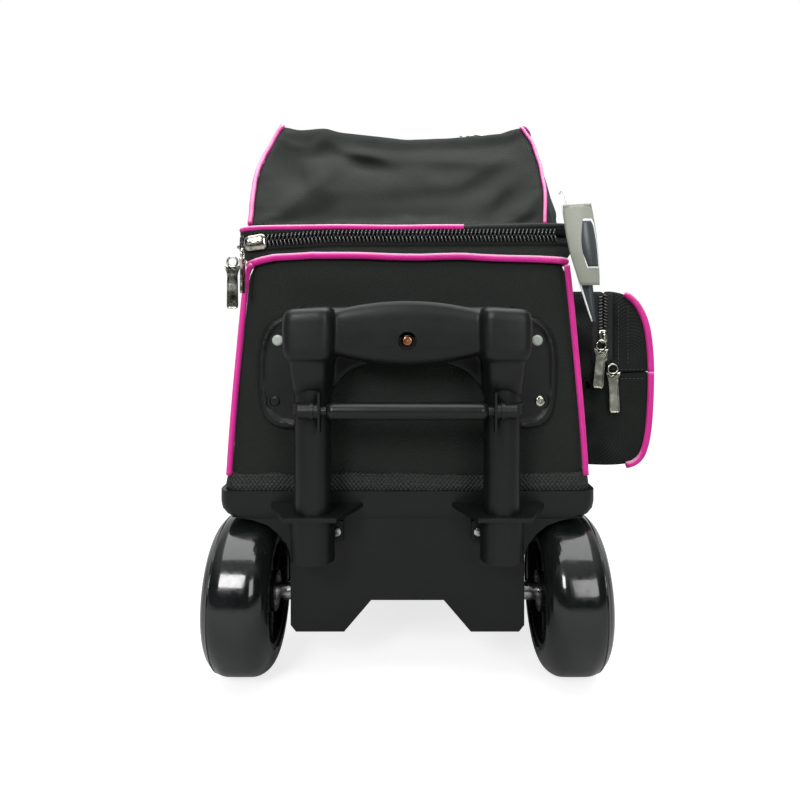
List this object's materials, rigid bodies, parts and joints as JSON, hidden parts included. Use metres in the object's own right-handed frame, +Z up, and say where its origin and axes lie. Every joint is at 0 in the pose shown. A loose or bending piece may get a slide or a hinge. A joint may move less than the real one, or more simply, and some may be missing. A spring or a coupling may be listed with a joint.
{
  "type": "bowling ball bag",
  "caption": "Wheeled bowling ball bag with a moulded base, a telescopic pull handle, a zipped lid with a shoe pouch on top and a zipped side pocket.",
  "frame": {"origin": "centre of the whole bag's box, on the floor it stands on", "axes": "+Z up; +Y from the wheels and handle at the rear to the front of the bag; +X towards the side pocket"},
  "size_m": [0.352, 0.558, 0.4434],
  "materials": {
    "black_moulding": "satin moulded polypropylene, fine grain",
    "grip_sleeve": "soft satin",
    "hub_plastic": "semi-gloss moulded nylon",
    "tyre": "glossy smoke-tinted polyurethane",
    "tube_paint": "satin black powder coat",
    "tube_metal": "satin anodised",
    "bush": "acetal",
    "steel": "zinc-plated",
    "nickel": "bright nickel plate",
    "body_fabric": "coated polyester twill with a faint sheen",
    "webbing": "woven binding and webbing",
    "piping": "bright pink woven piping",
    "zipper_coil": "nylon coil",
    "board": "black polyethylene stiffener board",
    "foam": "grey moulded foam",
    "foot_rubber": "matt black",
    "tag_card": "coated grey card with a dark panel",
    "tag_cord": "clear-white nylon"
  },
  "bodies": {
    "bag": {"base_tray": "black_moulding", "tube_ledges": "black_moulding", "ledge_screws": "steel", "stub_axles": "steel", "axle_nuts": "steel", "axle_spacers": "steel", "front_stand": "black_moulding", "foot_pads": "foot_rubber", "foot_screws": "steel", "handle_bracket": "black_moulding", "bracket_rivets": "nickel", "bracket_backing_plate": "steel", "outer_tubes": "tube_paint", "guide_bushes": "bush", "cross_bar": "tube_paint", "cross_bar_sleeve": "grip_sleeve", "cross_bar_clamps": "black_moulding", "body_shell": "body_fabric", "base_binding": "webbing", "wall_boards": "board", "ball_foam": "foam", "zipper_collar": "body_fabric", "grab_strap": "webbing", "pocket_bucket": "body_fabric"},
    "left_wheel": {"left_tyre": "tyre", "left_hub": "hub_plastic", "left_bearings": "steel", "left_hub_cap": "black_moulding"},
    "right_wheel": {"right_tyre": "tyre", "right_hub": "hub_plastic", "right_bearings": "steel", "right_hub_cap": "black_moulding"},
    "handle_stage_1": {"stage_1_tubes": "tube_metal"},
    "handle_stage_2": {"stage_2_tubes": "tube_metal"},
    "handle_stage_3": {"stage_3_tubes": "tube_metal"},
    "handle": {"stage_4_tubes": "tube_metal", "grip_upper": "black_moulding", "grip_lower": "black_moulding", "grip_screws": "steel", "button_spring": "steel"},
    "button": {"release_button": "bush"},
    "lid": {"lid_shell": "body_fabric", "lid_board": "board", "pouch_shell": "body_fabric"},
    "pouch_flap": {"pouch_flap": "body_fabric"},
    "pouch_slider": {"pouch_slider": "nickel"},
    "pouch_pull": {"pouch_pull": "nickel"},
    "rear_slider": {"rear_slider": "nickel"},
    "rear_pull": {"rear_pull": "nickel"},
    "side_slider": {"side_slider": "nickel"},
    "side_pull": {"side_pull": "nickel"},
    "pocket_flap": {"pocket_flap": "body_fabric"},
    "upper_pocket_slider": {"upper_pocket_slider": "nickel"},
    "upper_pocket_pull": {"upper_pocket_pull": "nickel"},
    "lower_pocket_slider": {"lower_pocket_slider": "nickel"},
    "lower_pocket_pull": {"lower_pocket_pull": "nickel"},
    "tag": {"hang_tag": "tag_card", "tag_fastener": "tag_cord"}
  },
  "joints": [
    {"name": "left_wheel_spin", "type": "hinge", "parent": "bag", "child": "left_wheel", "pos_m": [-0.152, -0.209, 0.059], "axis": [1, 0, 0], "continuous": true},
    {"name": "right_wheel_spin", "type": "hinge", "parent": "bag", "child": "right_wheel", "pos_m": [0.094, -0.209, 0.059], "axis": [1, 0, 0], "continuous": true},
    {"name": "handle_stage_1_slide", "type": "slide", "parent": "bag", "child": "handle_stage_1", "axis": [0, 0, 1], "range_m": [0, 0.135]},
    {"name": "handle_stage_2_slide", "type": "slide", "parent": "handle_stage_1", "child": "handle_stage_2", "axis": [0, 0, 1], "range_m": [0, 0.135]},
    {"name": "handle_stage_3_slide", "type": "slide", "parent": "handle_stage_2", "child": "handle_stage_3", "axis": [0, 0, 1], "range_m": [0, 0.135]},
    {"name": "handle_slide", "type": "slide", "parent": "handle_stage_3", "child": "handle", "axis": [0, 0, 1], "range_m": [0, 0.135]},
    {"name": "release_button_press", "type": "slide", "parent": "handle", "child": "button", "axis": [0, 0, -1], "range_m": [0, 0.003], "stiffness_N_per_m": 400, "springref_m": -0.002, "deforming": ["button_spring"]},
    {"name": "lid_hinge", "type": "hinge", "parent": "bag", "child": "lid", "pos_m": [0.1008, 0.027, 0.3315], "axis": [0, 1, 0], "range_deg": [0, 90]},
    {"name": "pouch_flap_hinge", "type": "hinge", "parent": "lid", "child": "pouch_flap", "pos_m": [-0.121, 0.046, 0.4375], "axis": [0, -1, 0], "range_deg": [0, 110]},
    {"name": "pouch_slider_run", "type": "slide", "parent": "lid", "child": "pouch_slider", "axis": [0, 1, 0], "range_m": [0, 0.28]},
    {"name": "pouch_pull_swing", "type": "hinge", "parent": "pouch_slider", "child": "pouch_pull", "pos_m": [0.0305, -0.101, 0.4424], "axis": [0, -1, 0], "range_deg": [0, 150]},
    {"name": "rear_slider_run", "type": "slide", "parent": "bag", "child": "rear_slider", "axis": [1, 0, 0], "range_m": [0, 0.2]},
    {"name": "rear_pull_swing", "type": "hinge", "parent": "rear_slider", "child": "rear_pull", "pos_m": [-0.1495, -0.2395, 0.3175], "axis": [-1, 0, 0], "range_deg": [0, 100]},
    {"name": "side_slider_run", "type": "slide", "parent": "bag", "child": "side_slider", "axis": [0, 1, 0], "range_m": [0, 0.4]},
    {"name": "side_pull_swing", "type": "hinge", "parent": "side_slider", "child": "side_pull", "pos_m": [-0.1675, -0.201, 0.3155], "axis": [0, 1, 0], "range_deg": [0, 100]},
    {"name": "pocket_flap_hinge", "type": "hinge", "parent": "bag", "child": "pocket_flap", "pos_m": [0.1763, 0.028, 0.2244], "axis": [0, 1, 0], "range_deg": [0, 90]},
    {"name": "upper_pocket_slider_run", "type": "slide", "parent": "bag", "child": "upper_pocket_slider", "axis": [0, 0, 1], "range_m": [0, 0.03]},
    {"name": "upper_pocket_pull_swing", "type": "hinge", "parent": "upper_pocket_slider", "child": "upper_pocket_pull", "pos_m": [0.1328, -0.1726, 0.2485], "axis": [-1, 0, 0], "range_deg": [0, 100]},
    {"name": "lower_pocket_slider_run", "type": "slide", "parent": "bag", "child": "lower_pocket_slider", "axis": [0, 0, -1], "range_m": [0, 0.008]},
    {"name": "lower_pocket_pull_swing", "type": "hinge", "parent": "lower_pocket_slider", "child": "lower_pocket_pull", "pos_m": [0.1432, -0.1703, 0.2285], "axis": [-1, 0, 0], "range_deg": [0, 20]},
    {"name": "tag_swing", "type": "hinge", "parent": "lid", "child": "tag", "pos_m": [0.087, -0.2385, 0.3615], "axis": [0, 1, 0], "range_deg": [-12, 12]}
  ]
}
